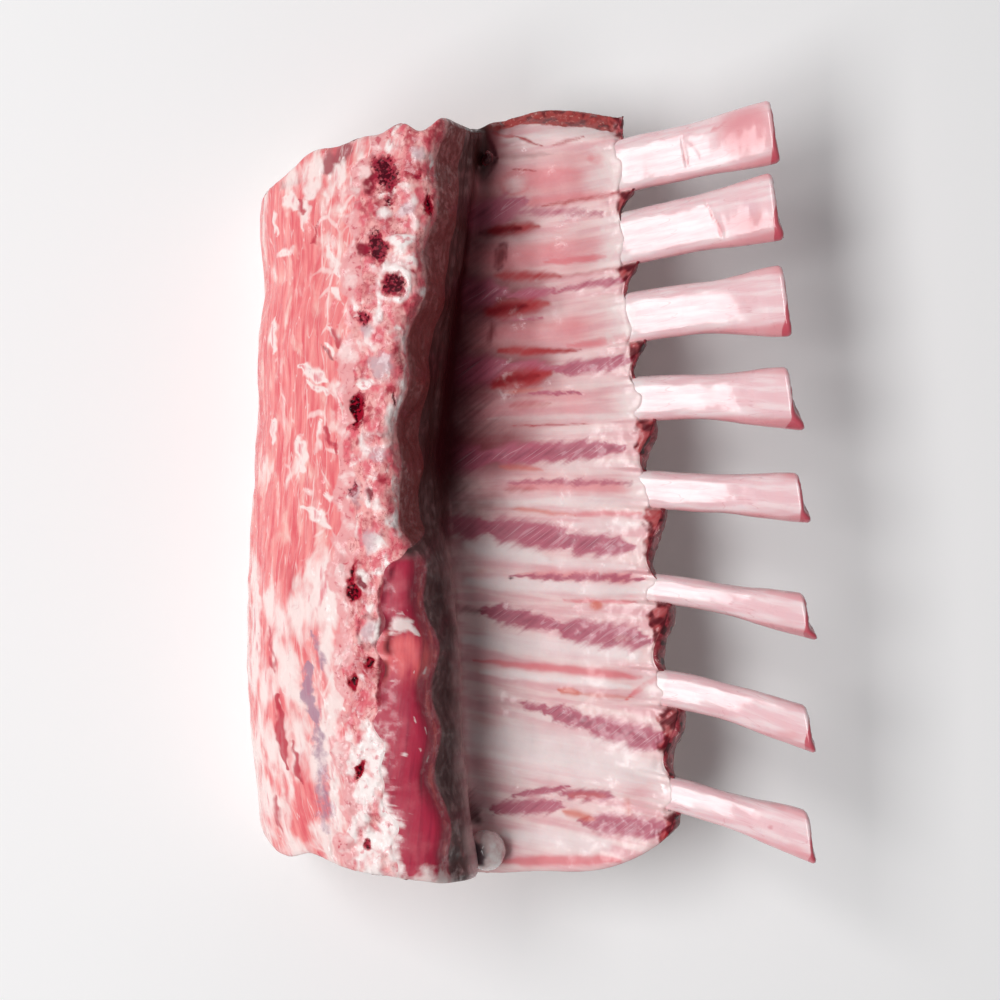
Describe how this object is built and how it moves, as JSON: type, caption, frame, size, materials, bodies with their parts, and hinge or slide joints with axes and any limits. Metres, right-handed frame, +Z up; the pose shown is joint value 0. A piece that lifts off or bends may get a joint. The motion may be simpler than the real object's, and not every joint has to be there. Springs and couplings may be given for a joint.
{
  "type": "raw rack of lamb",
  "caption": "Raw rack of lamb lying fat side down, chest side up, with a sawn backbone, a lined row of ribs and bare, trimmed rib ends.",
  "frame": {"origin": "under the middle of the rack's bounding box, on the surface that it rests on", "axes": "+X from the backbone out to the sawn rib ends, +Y along the backbone to the shoulder end, +Z up, from the fat side to the chest side"},
  "size_m": [0.154, 0.2132, 0.0612],
  "materials": {
    "meat": "wet raw lean with white fat on the back and a pale chest lining inside",
    "chine": "sawn backbone, pale pink with dark red marrow",
    "rib_bone": "bare wet bone, pinkish white and glossy"
  },
  "bodies": {
    "root": {"meat": "meat", "chine_bone": "chine", "rib_1": "rib_bone", "rib_2": "rib_bone", "rib_3": "rib_bone", "rib_4": "rib_bone", "rib_5": "rib_bone", "rib_6": "rib_bone", "rib_7": "rib_bone", "rib_8": "rib_bone"}
  },
  "joints": []
}
